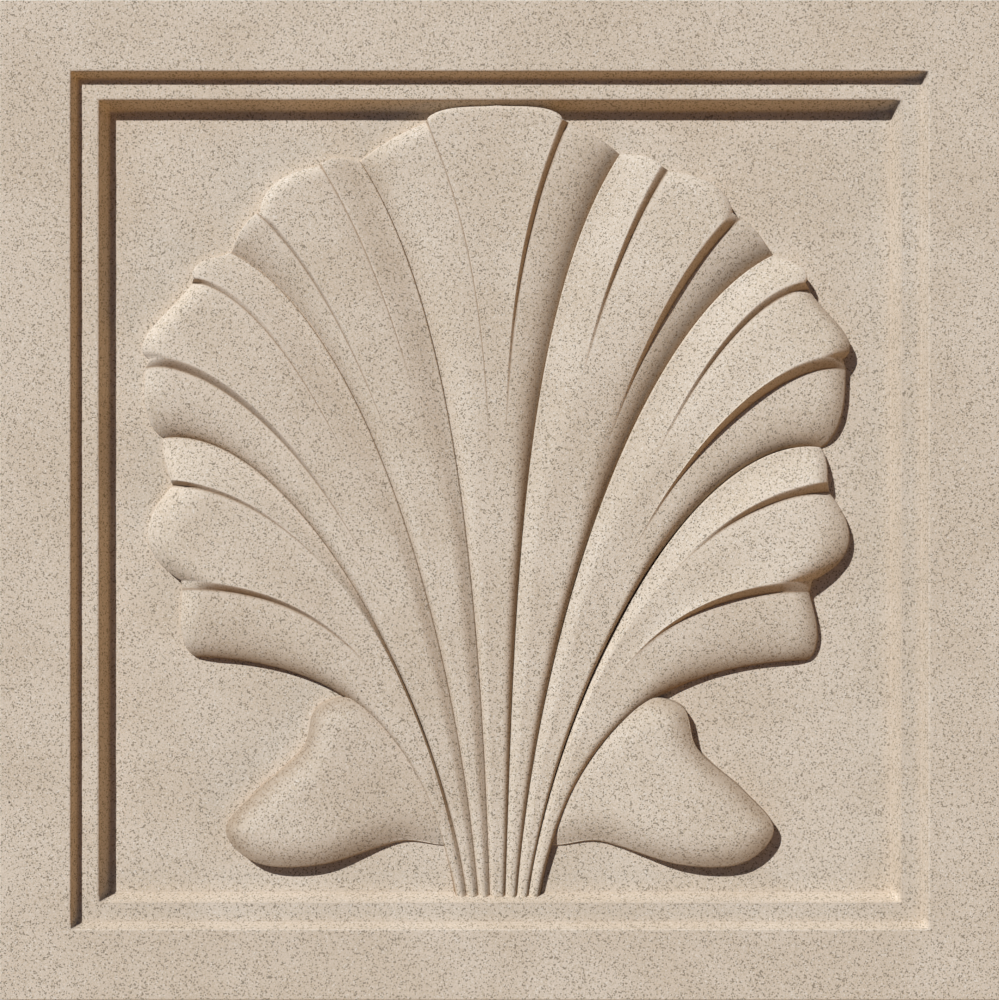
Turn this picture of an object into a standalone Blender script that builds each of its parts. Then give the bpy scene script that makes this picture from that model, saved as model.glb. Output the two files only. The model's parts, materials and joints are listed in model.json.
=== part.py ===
"""Stone wall panel with a shell carved in a stepped square recess.

The panel is one solid. Metres, +Z up, carved face towards -Y, origin at the centre of the flat back.
The shell's sizes are drawn for a recess floor DRAWN_FLOOR wide and follow the real floor's width.
"""

import math
from dataclasses import dataclass

import bpy
import numpy as np

MM = 0.001

# Block and recess
BLOCK_SIDE = 0.600
BLOCK_DEPTH = 0.075
OPENING_SIDE = 0.515
OUTER_STEP = 0.0072
LEDGE_WIDTH = 0.0126
INNER_STEP = 0.0108
WALL_DRAFT = math.radians(18.5)
STONE_COLOUR = (0.585, 0.493, 0.393, 1.0)
STONE_ROUGHNESS = 0.9

# Carving as drawn
DRAWN_FLOOR = 0.4811
AXIS_X = -0.0016
STEM_PITCH = 2.35
STEM_LEAN = 0.9
FOOT_TUCK = 2.5
RIM_TUCK = 1.0
ROOT = 1.0
VALLEY_AT_FOOT = 2.6
RIB_AT_FOOT = 5.4
MIDDLE = 0.45
HEIGHT_FULL_AT = 0.95
REACH_FULL_AT = 0.8
WALL_AT_FOOT = 0.45
WALL_RUN = 1.15
MOST_WALL = 0.4
REACH_AT_FOOT = 4.0
REACH_MIDDLE = 10.0
REACH_AT_RIM = 38.0
OUTER_ROUNDING = 3
INNER_POWER = 1.6
INNER_WALL = 0.45
LEFT_INNER_WALL = 0.15
OUTLINE_WALL = 0.3
NARROW_WALL = 1.0
STEP_GROWTH = 0.7
HALF_WIDTH = 0.48
LIFTED_SHARE = 0.3
LOWERED_POWER = 1.6
SWELL_POWER = 5

# Fineness of the carving's mesh
ROWS_INSIDE = 15
ROWS_AT_RIM = (0.0, 0.5, 1.3, 3.2, 7.0)
COLUMNS_ACROSS = (5, 6, 4, 6, 5, 4, 6, 6, 4, 8, 7)
CROWDING = 1.6
NARROW_SHARE = 0.04
CURVE_SAMPLES = 65
LEAF_RINGS = (0.0, 0.3, 0.52, 0.68, 0.8, 0.89, 0.95, 0.985, 1.0)
LEAF_SPOKES = 40


@dataclass(frozen=True)
class Fold:
    """A line from the stem's foot to the rim, in mm from the shell's axis and the panel's centre.

    rise and pull are the lengths of the curve's handles, turn is its angle from upright at the rim.
    step is how far the stone drops there on the side away from the axis, and fade is the share of
    the line, from the foot, along which there is no step. left shifts the tip on the left side, and
    left_step is the share of the step there.
    """

    rise: float
    tip: tuple
    turn: float
    pull: float
    step: float = 0.0
    fade: float = 0.0
    left: tuple = (0.0, 0.0)
    left_step: float = 1.0


@dataclass(frozen=True)
class Edge:
    """The rim between two folds: how far it swells past a straight line, and where it swells most.

    roll is how far in from the rim its rounding reaches, wall the share of its height that is upright.
    """

    swell: float
    peak: float
    roll: float
    wall: float


@dataclass(frozen=True)
class Petal:
    """Heights in mm above the recess floor: the crest and the outer valley, halfway up and at the rim."""

    crest_middle: float
    crest_rim: float
    valley_middle: float
    valley_rim: float


FOLDS = (
    Fold(rise=160, tip=(0, 240.6 + RIM_TUCK), turn=0, pull=160),
    Fold(rise=240, tip=(43.5, 232.5), turn=24, pull=127, step=3.2, fade=0.60, left_step=0.15),
    Fold(rise=178, tip=(75, 213.5), turn=33, pull=112, left=(9.5, -4)),
    Fold(rise=235, tip=(104.5, 203), turn=33, pull=84, step=4.0, fade=0.70, left=(4, 3), left_step=0.3),
    Fold(rise=174, tip=(148.5, 173), turn=48, pull=94, step=5.0, fade=0.64, left=(-2, 3), left_step=0.35),
    Fold(rise=172, tip=(169.5, 151.5), turn=65, pull=88, left=(-5, 2)),
    Fold(rise=151, tip=(191.5, 129.5), turn=88, pull=69, step=4.2, fade=0.66, left=(-4, 4), left_step=0.6),
    Fold(rise=200, tip=(214, 81), turn=97, pull=66, step=6.2, fade=0.56, left=(2, 1), left_step=0.8),
    Fold(rise=120, tip=(198, 33.5), turn=97, pull=81, left=(7, 6)),
    Fold(rise=145, tip=(203.5, 6), turn=87, pull=87, step=5.2, fade=0.68, left=(-4, 4), left_step=0.5),
    Fold(rise=106, tip=(191.5, -55), turn=91, pull=114, step=6.0, fade=0.56, left=(2, 1.5), left_step=0.75),
    Fold(rise=106, tip=(190, -97), turn=88, pull=89, left=(-5, 2)),
)

EDGES = (
    Edge(swell=4.0, peak=0.70, roll=4, wall=0.85),
    Edge(swell=1.5, peak=0.60, roll=12, wall=0.6),
    Edge(swell=3.0, peak=0.60, roll=8, wall=0.85),
    Edge(swell=8.0, peak=0.60, roll=10, wall=0.65),
    Edge(swell=2.0, peak=0.40, roll=8, wall=0.85),
    Edge(swell=5.5, peak=0.70, roll=8, wall=0.85),
    Edge(swell=8.5, peak=0.80, roll=16, wall=0.45),
    Edge(swell=6.5, peak=0.62, roll=17, wall=0.45),
    Edge(swell=2.0, peak=0.40, roll=10, wall=0.55),
    Edge(swell=18.0, peak=0.52, roll=26, wall=0.35),
    Edge(swell=6.0, peak=0.66, roll=14, wall=0.4),
)

PETALS = (
    Petal(crest_middle=10.2, crest_rim=11.8, valley_middle=4.6, valley_rim=1.2),
    Petal(crest_middle=9.8, crest_rim=13.0, valley_middle=4.2, valley_rim=1.0),
    Petal(crest_middle=9.4, crest_rim=14.5, valley_middle=3.4, valley_rim=0.8),
    Petal(crest_middle=9.0, crest_rim=15.0, valley_middle=0.0, valley_rim=0.0),
)

# Lower leaves, in mm as the folds are
LEAF_CENTRE = (104, -176)
LEAF_OUTLINE = (
    (112.5, -124.5),
    (123, -151.5),
    (151, -177),
    (169.5, -201),
    (150, -221.5),
    (111, -222.5),
    (63, -208.5),
    (30, -208.5),
    (36, -168),
    (80, -124),
)
LEAF_HEIGHT = 13.5
LEAF_HEIGHT_AT_STEM = 5.0
LEAF_FULL_AT = 0.7
LEAF_ROLL = 21.0
LEAF_WALL = 0.54
LEFT_LEAF_SHIFT = -3.0


def lay_out_recess():
    """The recess as squares: half of each side and its depth behind the face."""
    opening = OPENING_SIDE / 2
    ledge_outside = opening - OUTER_STEP * math.tan(WALL_DRAFT)
    ledge_inside = ledge_outside - LEDGE_WIDTH
    floor = ledge_inside - INNER_STEP * math.tan(WALL_DRAFT)
    return (
        (opening, 0.0),
        (ledge_outside, OUTER_STEP),
        (ledge_inside, OUTER_STEP),
        (floor, OUTER_STEP + INNER_STEP),
    )


RECESS = lay_out_recess()
FLOOR_HALF, FLOOR_DEPTH = RECESS[-1]
CARVING_SCALE = 2 * FLOOR_HALF / DRAWN_FLOOR * MM
FLOOR_Y = FLOOR_DEPTH - BLOCK_DEPTH


def remove_all_objects():
    """Empties the scene."""
    for obj in list(bpy.data.objects):
        bpy.data.objects.remove(obj, do_unlink=True)


def make_object(name, points, faces):
    """A mesh object in the scene, its faces turned outwards by the order they are given in."""
    mesh = bpy.data.meshes.new(name)
    mesh.from_pydata([tuple(point) for point in points], [], faces)
    mesh.validate()
    obj = bpy.data.objects.new(name, mesh)
    bpy.context.scene.collection.objects.link(obj)
    return obj


def smooth_step(value):
    """0 to 1 along an S, level at both ends."""
    value = np.clip(value, 0.0, 1.0)
    return value * value * (3 - 2 * value)


def quarter_round(distance, radius):
    """0 at an edge, rising as a quarter of an ellipse to 1 at the radius."""
    share = np.clip(distance / radius, 0.0, 1.0)
    return np.sqrt(1 - (1 - share) ** 2)


def walled_flank(distance, reach, wall, power=1.0, rounding=2):
    """A flank from 0 at an edge to 1 at the reach.

    The share wall of its height stands nearly upright. Above that the flank is steeper at its foot
    the higher the rounding is, and gentler there the higher the power is.
    """
    share = np.clip(distance / reach, 0.0, 1.0)
    return wall * quarter_round(distance, NARROW_WALL) + (1 - wall) * (1 - (1 - share) ** rounding) ** power


def petal_of(unit):
    """The number of the petal that a strip between two folds belongs to."""
    return (unit + 1) // 3


def fold_curve(index, side):
    """Points of one fold, evenly spaced from foot to rim, for side 1 (right) or -1 (left)."""
    fold = FOLDS[index]
    foot = np.array([STEM_PITCH * index, -DRAWN_FLOOR / 2 / MM - FOOT_TUCK])
    tip = np.array(fold.tip, float)
    if side < 0:
        tip += fold.left
    lean = math.radians(STEM_LEAN * index)
    turn = math.radians(fold.turn)
    after_foot = foot + fold.rise * np.array([math.sin(lean), math.cos(lean)])
    before_tip = tip - fold.pull * np.array([math.sin(turn), math.cos(turn)])
    t = np.linspace(0, 1, 4 * CURVE_SAMPLES)[:, None]
    points = (1 - t) ** 3 * foot + 3 * (1 - t) ** 2 * t * after_foot
    points += 3 * (1 - t) * t**2 * before_tip + t**3 * tip
    return resample(points, np.linspace(0, 1, CURVE_SAMPLES))


def run_lengths(points):
    """The length of a line of points up to each of them."""
    return np.concatenate([[0.0], np.cumsum(np.linalg.norm(np.diff(points, axis=0), axis=1))])


def resample(points, shares):
    """Points at the given shares of a line's length."""
    lengths = run_lengths(points)
    return np.stack([np.interp(shares * lengths[-1], lengths, axis) for axis in points.T], axis=1)


def step_of(index, side):
    """A fold's full step on one side of the shell."""
    fold = FOLDS[index]
    return fold.step if side > 0 else fold.step * fold.left_step


def wall_width(index, side):
    """How wide the wall beside a fold is, along its length."""
    along = np.linspace(0, 1, CURVE_SAMPLES)
    fade = FOLDS[index].fade
    at_rim = max(WALL_AT_FOOT, WALL_RUN * step_of(index, side))
    return WALL_AT_FOOT + (at_rim - WALL_AT_FOOT) * np.clip((along - fade) / (1 - fade), 0.0, 1.0)


def edge_swell(edge, across):
    """The rim's swelling at each share of the way between two folds."""
    before, after = 2 * edge.peak, 2 - 2 * edge.peak
    most = edge.peak**before * (1 - edge.peak) ** after
    return edge.swell * across**before * (1 - across) ** after / most


def column_shares(unit):
    """Where a strip's columns lie across it, closer together beside a petal's valleys."""
    shares = np.linspace(0, 1, COLUMNS_ACROSS[unit] + 1)
    if unit % 3 == 1:
        return 1 - (1 - shares) ** CROWDING
    if unit % 3 == 2:
        return np.concatenate([[0.0], NARROW_SHARE + (1 - NARROW_SHARE) * shares])
    return shares


def row_places(length):
    """Distances from the foot of the mesh's rows along a column, closer together at the rim."""
    rim = length - np.array(ROWS_AT_RIM[::-1])
    inside = np.linspace(0, rim[0], ROWS_INSIDE, endpoint=False)
    return np.concatenate([inside, rim])


def value_along(foot, middle, rim, along, end):
    """A value that goes from foot to rim by that halfway up, and is full at the share end."""
    lower = smooth_step(along / MIDDLE)
    upper = smooth_step((along - MIDDLE) / (end - MIDDLE))
    return foot + (middle - foot) * lower + (rim - middle) * upper


def height_along(foot, middle, rim, along):
    """A height from foot to rim."""
    return value_along(foot, middle, rim, along, HEIGHT_FULL_AT)


def reach_along(along, width):
    """How far a flank reaches from its valley, from foot to rim, within a petal of the given width."""
    reach = value_along(REACH_AT_FOOT, REACH_MIDDLE, REACH_AT_RIM, along, REACH_FULL_AT)
    return np.minimum(reach, HALF_WIDTH * width)


def valley_along(petal, along):
    """The height of the valley on a petal's outer side; the last petal ends below the floor."""
    if petal is PETALS[-1]:
        return -ROOT * np.ones_like(along)
    return height_along(VALLEY_AT_FOOT, petal.valley_middle, petal.valley_rim, along)


def step_strength(index, along, side):
    """A fold's step in mm at each share of its length."""
    fade = FOLDS[index].fade
    return step_of(index, side) * smooth_step((along - fade) / (1 - fade) / STEP_GROWTH)


def height_at(unit, side, across, along, from_rim, to_inner, to_outer, width):
    """Heights in mm above the floor of a column's points.

    across is the column's share of its unit, along the share from foot to rim, from_rim the distance
    to the rim, to_inner and to_outer the distances to the petal's valleys, width that between them.
    """
    number = petal_of(unit)
    petal, edge = PETALS[number], EDGES[unit]
    crest = height_along(RIB_AT_FOOT, petal.crest_middle, petal.crest_rim, along)
    lowered = 1 if unit % 3 == 1 else (1 - across) ** LOWERED_POWER
    crest -= (1 - LIFTED_SHARE) * step_strength(unit, along, side) * lowered
    crest += LIFTED_SHARE * step_strength(unit + 1, along, side) * across**2
    reach = reach_along(along, width)
    wall = OUTLINE_WALL if petal is PETALS[-1] else 0.0
    rise = walled_flank(to_outer, reach, wall, rounding=OUTER_ROUNDING)
    height = crest - (crest - valley_along(petal, along)) * (1 - rise)
    if number > 0:
        wall = INNER_WALL if side > 0 else LEFT_INNER_WALL
        rise = walled_flank(to_inner, reach, wall, power=INNER_POWER)
        height -= (crest - valley_along(PETALS[number - 1], along)) * (1 - rise)
    return (height + ROOT) * walled_flank(from_rim, edge.roll, edge.wall) - ROOT


def shell_columns(side):
    """Columns of (x, z, height) points in mm from the axis outwards, for one side of the shell."""
    curves = [fold_curve(index, side) for index in range(len(FOLDS))]
    along_curve = np.linspace(0, 1, CURVE_SAMPLES)
    columns = []
    for unit, edge in enumerate(EDGES):
        inner, outer = curves[unit], curves[unit + 1]
        gap = np.linalg.norm(outer - inner, axis=1)
        last_unit = unit == len(EDGES) - 1
        covered = np.ones_like(gap)
        if not last_unit:
            covered -= np.minimum(wall_width(unit + 1, side) / gap, MOST_WALL)
        chord = outer[-1] - inner[-1]
        outward = np.array([-chord[1], chord[0]]) / np.linalg.norm(chord)
        inner_valley = curves[max(0, 3 * petal_of(unit) - 1)]
        outer_valley = curves[3 * petal_of(unit) + 2]
        for across in column_shares(unit):
            swell = edge_swell(edge, across) * along_curve**SWELL_POWER
            line = inner + (outer - inner) * (across * covered)[:, None] + swell[:, None] * outward
            lengths = run_lengths(line)
            places = row_places(lengths[-1])
            along = places / lengths[-1]
            points = np.stack([np.interp(places, lengths, axis) for axis in line.T], axis=1)
            valleys = [
                np.stack([np.interp(along, along_curve, axis) for axis in curve.T], axis=1)
                for curve in (inner_valley, outer_valley)
            ]
            to_inner, to_outer = (np.linalg.norm(points - valley, axis=1) for valley in valleys)
            width = np.linalg.norm(valleys[1] - valleys[0], axis=1) * (1 if unit > 1 else 2)
            heights = height_at(
                unit, side, across, along, lengths[-1] - places, to_inner, to_outer, width
            )
            columns.append(np.column_stack([points, heights]))
    return columns


def to_panel(drawn):
    """Drawn (x, z, height) points in mm as points of the panel in metres."""
    x, z, height = np.asarray(drawn, float).T
    return np.column_stack(
        [AXIS_X + x * CARVING_SCALE, FLOOR_Y - height * MM, z * CARVING_SCALE]
    )


def make_shell():
    """The shell as a closed solid whose underside lies inside the block."""
    right, left = shell_columns(1), shell_columns(-1)
    mirrored = [column * (-1, 1, 1) for column in reversed(left[1:])]
    grid = np.stack(mirrored + right)
    columns, rows = grid.shape[:2]
    top = to_panel(grid.reshape(-1, 3))
    under = top.copy()
    under[:, 1] = FLOOR_Y + 2 * ROOT * MM
    count = columns * rows
    faces = []
    for column in range(columns - 1):
        for row in range(rows - 1):
            a = column * rows + row
            b, c, d = a + 1, a + rows + 1, a + rows
            faces += [(a, d, c, b), (a + count, b + count, c + count, d + count)]
    outline = [column * rows for column in range(columns)]
    outline += [(columns - 1) * rows + row for row in range(1, rows)]
    outline += [column * rows + rows - 1 for column in range(columns - 2, -1, -1)]
    outline += list(range(rows - 2, 0, -1))
    for a, b in zip(outline, outline[1:] + outline[:1]):
        faces.append((a, a + count, b + count, b))
    return make_object("shell_relief", np.concatenate([top, under]), faces)


def closed_curve(points, samples):
    """Points evenly spaced round a smooth closed curve through the given ones."""
    knots = np.array(points, float)
    t = np.linspace(0, 1, 12, endpoint=False)[:, None]
    pieces = []
    for index in range(len(knots)):
        before, start, end, after = (knots[(index + step) % len(knots)] for step in (-1, 0, 1, 2))
        pieces.append(
            start
            + 0.5 * t * (end - before)
            + t**2 * (before - 2.5 * start + 2 * end - 0.5 * after)
            + t**3 * (1.5 * start - 1.5 * end + 0.5 * after - 0.5 * before)
        )
    line = np.concatenate(pieces + [knots[:1]])
    return resample(line, np.linspace(0, 1, samples, endpoint=False))


def make_leaf(name, side):
    """One lower leaf as a closed cushion whose underside lies inside the block."""
    shift = np.array([0.0 if side > 0 else LEFT_LEAF_SHIFT, 0.0])
    centre = np.array(LEAF_CENTRE) + shift
    outline = closed_curve(LEAF_OUTLINE, LEAF_SPOKES) + shift
    stem_edge, outer_edge = outline[:, 0].min(), outline[:, 0].max()
    drawn = []
    for ring in LEAF_RINGS:
        flat = centre + (outline - centre) * ring if ring else centre[None]
        outward = smooth_step((flat[:, 0] - stem_edge) / (outer_edge - stem_edge) / LEAF_FULL_AT)
        most = LEAF_HEIGHT_AT_STEM + (LEAF_HEIGHT - LEAF_HEIGHT_AT_STEM) * outward
        to_edge = np.linalg.norm(flat[:, None] - outline[None], axis=2).min(axis=1)
        height = (most + ROOT) * walled_flank(to_edge, LEAF_ROLL, LEAF_WALL * outward) - ROOT
        drawn.append(np.column_stack([flat, height]))
    drawn = np.concatenate(drawn) * (side, 1, 1)
    top = to_panel(drawn)
    under = top.copy()
    under[:, 1] = FLOOR_Y + 2 * ROOT * MM
    count, spokes = len(top), LEAF_SPOKES
    faces = []
    for spoke in range(spokes):
        after = (spoke + 1) % spokes
        faces.append((0, 1 + after, 1 + spoke))
        for ring in range(len(LEAF_RINGS) - 2):
            inside, outside = 1 + ring * spokes, 1 + (ring + 1) * spokes
            faces.append((inside + spoke, inside + after, outside + after, outside + spoke))
    faces = [face if side > 0 else face[::-1] for face in faces]
    faces += [tuple(point + count for point in face[::-1]) for face in faces]
    last = 1 + (len(LEAF_RINGS) - 2) * spokes
    for spoke in range(spokes):
        a, b = last + spoke, last + (spoke + 1) % spokes
        wall = (a, b, b + count, a + count)
        faces.append(wall if side > 0 else wall[::-1])
    return make_object(name, np.concatenate([top, under]), faces)


def make_block():
    """The block with its stepped square recess, as a run of square rings from back to floor."""
    rings = [(BLOCK_SIDE / 2, 0.0), (BLOCK_SIDE / 2, -BLOCK_DEPTH)]
    rings += [(half, depth - BLOCK_DEPTH) for half, depth in RECESS]
    points = [
        (x * half, y, z * half)
        for half, y in rings
        for x, z in ((-1, -1), (1, -1), (1, 1), (-1, 1))
    ]
    faces = [(3, 2, 1, 0)]
    for ring in range(len(rings) - 1):
        for corner in range(4):
            after = (corner + 1) % 4
            a, b = 4 * ring + corner, 4 * ring + after
            faces.append((a, b, b + 4, a + 4))
    last = 4 * (len(rings) - 1)
    faces.append((last, last + 1, last + 2, last + 3))
    return make_object("carved_panel", points, faces)


def make_stone():
    """The panel's material."""
    material = bpy.data.materials.new("cast_stone")
    material.use_nodes = True
    shader = material.node_tree.nodes["Principled BSDF"]
    shader.inputs["Base Color"].default_value = STONE_COLOUR
    shader.inputs["Roughness"].default_value = STONE_ROUGHNESS
    return material


def join(target, piece):
    """Makes a piece one solid with the target and hides the piece itself."""
    union = target.modifiers.new("with_" + piece.name, "BOOLEAN")
    union.operation = "UNION"
    union.solver = "EXACT"
    union.object = piece
    piece.hide_render = True
    piece.display_type = "WIRE"


def main():
    """Builds the panel."""
    remove_all_objects()
    panel = make_block()
    panel.data.materials.append(make_stone())
    join(panel, make_shell())
    join(panel, make_leaf("right_leaf", 1))
    join(panel, make_leaf("left_leaf", -1))


main()
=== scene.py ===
"""Looks of the carved shell wall panel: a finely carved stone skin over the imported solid, light and camera.

Everything is in the frame of the part, in metres: +Z up, the carved face towards -Y, and the origin at the
centre of the flat back. The shell and its leaves are drawn in mm from the shell's axis and the panel's
centre, as in the solid, and Shell.to_panel brings them into the frame.
"""

from __future__ import annotations

import json
import logging
import math
from dataclasses import dataclass, field
from enum import Enum

import bpy
import numpy as np
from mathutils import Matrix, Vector

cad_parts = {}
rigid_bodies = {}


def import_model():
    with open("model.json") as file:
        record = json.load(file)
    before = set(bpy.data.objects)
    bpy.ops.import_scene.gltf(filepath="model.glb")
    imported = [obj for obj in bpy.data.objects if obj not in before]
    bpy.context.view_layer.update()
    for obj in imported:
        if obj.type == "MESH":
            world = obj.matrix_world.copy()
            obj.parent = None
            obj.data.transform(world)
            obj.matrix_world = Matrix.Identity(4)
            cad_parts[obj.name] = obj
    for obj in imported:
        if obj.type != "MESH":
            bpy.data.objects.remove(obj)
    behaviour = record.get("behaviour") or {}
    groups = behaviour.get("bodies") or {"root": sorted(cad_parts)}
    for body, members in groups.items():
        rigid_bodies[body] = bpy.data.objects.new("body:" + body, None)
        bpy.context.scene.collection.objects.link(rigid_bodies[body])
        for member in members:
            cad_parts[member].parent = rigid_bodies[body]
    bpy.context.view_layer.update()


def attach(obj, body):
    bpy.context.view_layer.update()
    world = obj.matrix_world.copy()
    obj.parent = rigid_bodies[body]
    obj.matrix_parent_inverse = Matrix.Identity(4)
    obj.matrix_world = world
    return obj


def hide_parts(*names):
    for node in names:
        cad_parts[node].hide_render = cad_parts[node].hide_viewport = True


log = logging.getLogger("carved_panel")

MM = 0.001
NODE = "carved_panel"

Array = np.ndarray
Socket = bpy.types.NodeSocket
Triple = tuple[float, float, float]


class Side(Enum):
    """A half of the shell; the value is the sign of x there."""

    RIGHT = 1
    LEFT = -1


@dataclass(frozen=True)
class Ripple:
    """Slight unevenness of stone that was worked by hand: two waves that bend each other, in mm.

    lengths are those of the waves across and upwards, for one radian. bends and bend_lengths say how far and
    how often each wave bends.
    """

    depth: float
    lengths: tuple[float, float]
    bends: tuple[float, float]
    bend_lengths: tuple[float, float]

    def at(self, x: Array, z: Array) -> Array:
        """The unevenness at points of a surface.

        Args:
            x: Their places across, in mm.
            z: Their places upwards, in mm.

        Returns:
            How far each stands out, in mm.
        """
        across = np.sin(x / self.lengths[0] + self.bends[0] * np.sin(z / self.bend_lengths[0]))
        upwards = np.sin(z / self.lengths[1] + self.bends[1] * np.sin(x / self.bend_lengths[1]))
        return self.depth * across * upwards


@dataclass(frozen=True)
class PanelSize:
    """Sizes of the block and of its stepped recess, in metres.

    arris and fillet soften the outward and inward edges of the recess, and sharp those of the block. The
    recess is uneven from clear inside its edge to worked_to from the middle. worn and worn_sharp say how
    smooth the stone is on the edges, and recess_edge_shade how much painted shade darkens those of the
    recess, dulling the light on them, from 0 to 1.
    """

    width: float = 0.600
    thickness: float = 0.075
    opening: float = 0.515
    outer_step: float = 0.0072
    ledge: float = 0.0126
    inner_step: float = 0.0108
    draft: float = math.radians(18.5)
    arris: float = 0.0009
    fillet: float = 0.0012
    sharp: float = 0.0005
    clear: float = 0.002
    worked_to: float = 0.2
    worn: float = 0.3
    worn_sharp: float = 0.2
    # painted shade on the recess's rounded edges and inner corners
    recess_edge_shade: float = 0.16
    ripple: Ripple = Ripple(depth=0.10, lengths=(3.226, 3.448), bends=(2.0, 2.0), bend_lengths=(5.882, 5.263))

    def squares(self) -> list[tuple[float, float]]:
        """The recess as squares.

        Returns:
            Half of each square's side and its depth behind the face.
        """
        opening = self.opening / 2
        ledge_outside = opening - self.outer_step * math.tan(self.draft)
        ledge_inside = ledge_outside - self.ledge
        floor = ledge_inside - self.inner_step * math.tan(self.draft)
        return [
            (opening, 0.0),
            (ledge_outside, self.outer_step),
            (ledge_inside, self.outer_step),
            (floor, self.outer_step + self.inner_step),
        ]


@dataclass(frozen=True)
class Fold:
    """A line from the stem's foot to the rim, in mm.

    rise and pull are the lengths of the curve's handles and turn its angle from upright at the rim. step is
    the drop on its outer side, and fade the share of its length with no step. left shifts the tip on the
    left, and left_step is the share of the step there.
    """

    rise: float
    tip: tuple[float, float]
    turn: float
    pull: float
    step: float = 0.0
    fade: float = 0.0
    left: tuple[float, float] = (0.0, 0.0)
    left_step: float = 1.0

    def step_on(self, side: Side) -> float:
        """The full step on one half of the shell, in mm."""
        return self.step if side is Side.RIGHT else self.step * self.left_step


@dataclass(frozen=True)
class Edge:
    """The rim between two folds, in mm: its swelling and where that peaks, its roll and its share of wall."""

    swell: float
    peak: float
    roll: float
    wall: float


@dataclass(frozen=True)
class Petal:
    """Heights in mm above the recess floor: the crest and the outer valley, halfway up and at the rim."""

    crest_middle: float
    crest_rim: float
    valley_middle: float
    valley_rim: float


@dataclass(frozen=True)
class ShellSize:
    """Sizes of the shell, in mm, and its form as shares and powers.

    drawn_floor is the side of the recess floor that the shell was drawn on, and axis_x the axis's place on
    the panel. The folds leave the stem stem_pitch apart, each leaning stem_lean degrees more than the last,
    from foot_tuck below the drawn floor. The names that end in at_foot, middle and at_rim are values along a
    petal, and the shares middle, height_full_at and reach_full_at say how far up these hold.
    reach is how far a petal's flank goes in from its valley, never past half_width of the petal. Its lowest
    part stands nearly upright over narrow_wall: inner_wall, left_inner_wall and outline_wall are its shares
    of the height, and inner_power and outer_rounding form the rest.
    A fold's step grows over step_growth of its length. It lowers the strip below, less and less across it by
    lowered_power, and lifts the one above by lifted_share. Its wall is wall_run times as wide as the step,
    never past most_wall of the strip, and steepens by wall_power. A rim's swelling grows by swell_power.
    """

    drawn_floor: float = 481.1
    axis_x: float = -1.6
    stem_pitch: float = 2.35
    stem_lean: float = 0.9
    foot_tuck: float = 2.5
    middle: float = 0.45
    height_full_at: float = 0.95
    valley_at_foot: float = 2.6
    rib_at_foot: float = 5.4
    reach_full_at: float = 0.8
    reach_at_foot: float = 4.0
    reach_middle: float = 10.0
    reach_at_rim: float = 38.0
    half_width: float = 0.48
    narrow_wall: float = 0.8
    inner_wall: float = 0.45
    left_inner_wall: float = 0.15
    outline_wall: float = 0.3
    inner_power: float = 1.6
    outer_rounding: float = 3.0
    step_growth: float = 0.7
    lifted_share: float = 0.3
    lowered_power: float = 1.6
    wall_at_foot: float = 0.45
    wall_run: float = 1.15
    wall_power: float = 1.25
    most_wall: float = 0.4
    swell_power: float = 5.0
    fillet: float = 0.7
    ripple: Ripple = Ripple(depth=0.06, lengths=(7.3, 8.9), bends=(1.7, 1.3), bend_lengths=(19.0, 23.0))


@dataclass(frozen=True)
class WearAndPaintedShade:
    """Wear on the shell and the painted shade on it: brown darkening painted where flanks, rims and walls
    face away from the light, thin dark lines painted as shade in its creases, and stone worn smooth.

    The painted shades, lines and what starts with smooth are strengths from 0 to 1, and the rest are lengths
    in mm, apart from valley_share, the most of a flank's reach that a valley's painted shade takes up, and
    from line_before and line_run, the shares of a fold's length where its line comes up. A rim is darkened
    where its roll is over broad_roll, a wall is in full from a drop of deep_wall, and the edge above a step
    from a full_step.
    """

    # painted shade: darkened valleys, rims and walls, and dark lines in the creases
    valley: float = 0.62
    left_valley: float = 0.12
    valley_reach: float = 8.0
    valley_share: float = 0.4
    rim: float = 0.38
    rim_reach: float = 5.0
    broad_roll: float = 12.0
    wall: float = 0.45
    deep_wall: float = 2.5
    valley_line: float = 0.85
    left_valley_line: float = 0.15
    left_inner_line: float = 0.5
    fold_line: float = 0.7
    rim_line: float = 0.4
    line_width: float = 0.8
    line_before: float = 0.05
    line_run: float = 0.12
    # wear: stone rubbed smooth
    smooth_rim: float = 0.4
    smooth_rim_width: float = 2.5
    smooth_foot: float = 0.4
    smooth_foot_width: float = 4.2
    smooth_edge: float = 0.6
    smooth_edge_width: float = 1.6
    smooth_wall: float = 0.5
    full_step: float = 2.0


FOLDS: tuple[Fold, ...] = (
    Fold(rise=160, tip=(0, 241.6), turn=0, pull=160),
    Fold(rise=240, tip=(43.5, 232.5), turn=24, pull=127, step=3.2, fade=0.60, left_step=0.15),
    Fold(rise=178, tip=(75, 213.5), turn=33, pull=112, left=(9.5, -4)),
    Fold(rise=235, tip=(104.5, 203), turn=33, pull=84, step=4.0, fade=0.70, left=(4, 3), left_step=0.3),
    Fold(rise=174, tip=(148.5, 173), turn=48, pull=94, step=5.0, fade=0.64, left=(-2, 3), left_step=0.35),
    Fold(rise=172, tip=(169.5, 151.5), turn=65, pull=88, left=(-5, 2)),
    Fold(rise=151, tip=(191.5, 129.5), turn=88, pull=69, step=4.2, fade=0.66, left=(-4, 4), left_step=0.6),
    Fold(rise=200, tip=(214, 81), turn=97, pull=66, step=6.2, fade=0.56, left=(2, 1), left_step=0.8),
    Fold(rise=120, tip=(198, 33.5), turn=97, pull=81, left=(7, 6)),
    Fold(rise=145, tip=(203.5, 6), turn=87, pull=87, step=5.2, fade=0.68, left=(-4, 4), left_step=0.5),
    Fold(rise=106, tip=(191.5, -55), turn=91, pull=114, step=6.0, fade=0.56, left=(2, 1.5), left_step=0.75),
    Fold(rise=106, tip=(190, -97), turn=88, pull=89, left=(-5, 2)),
)

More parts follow.
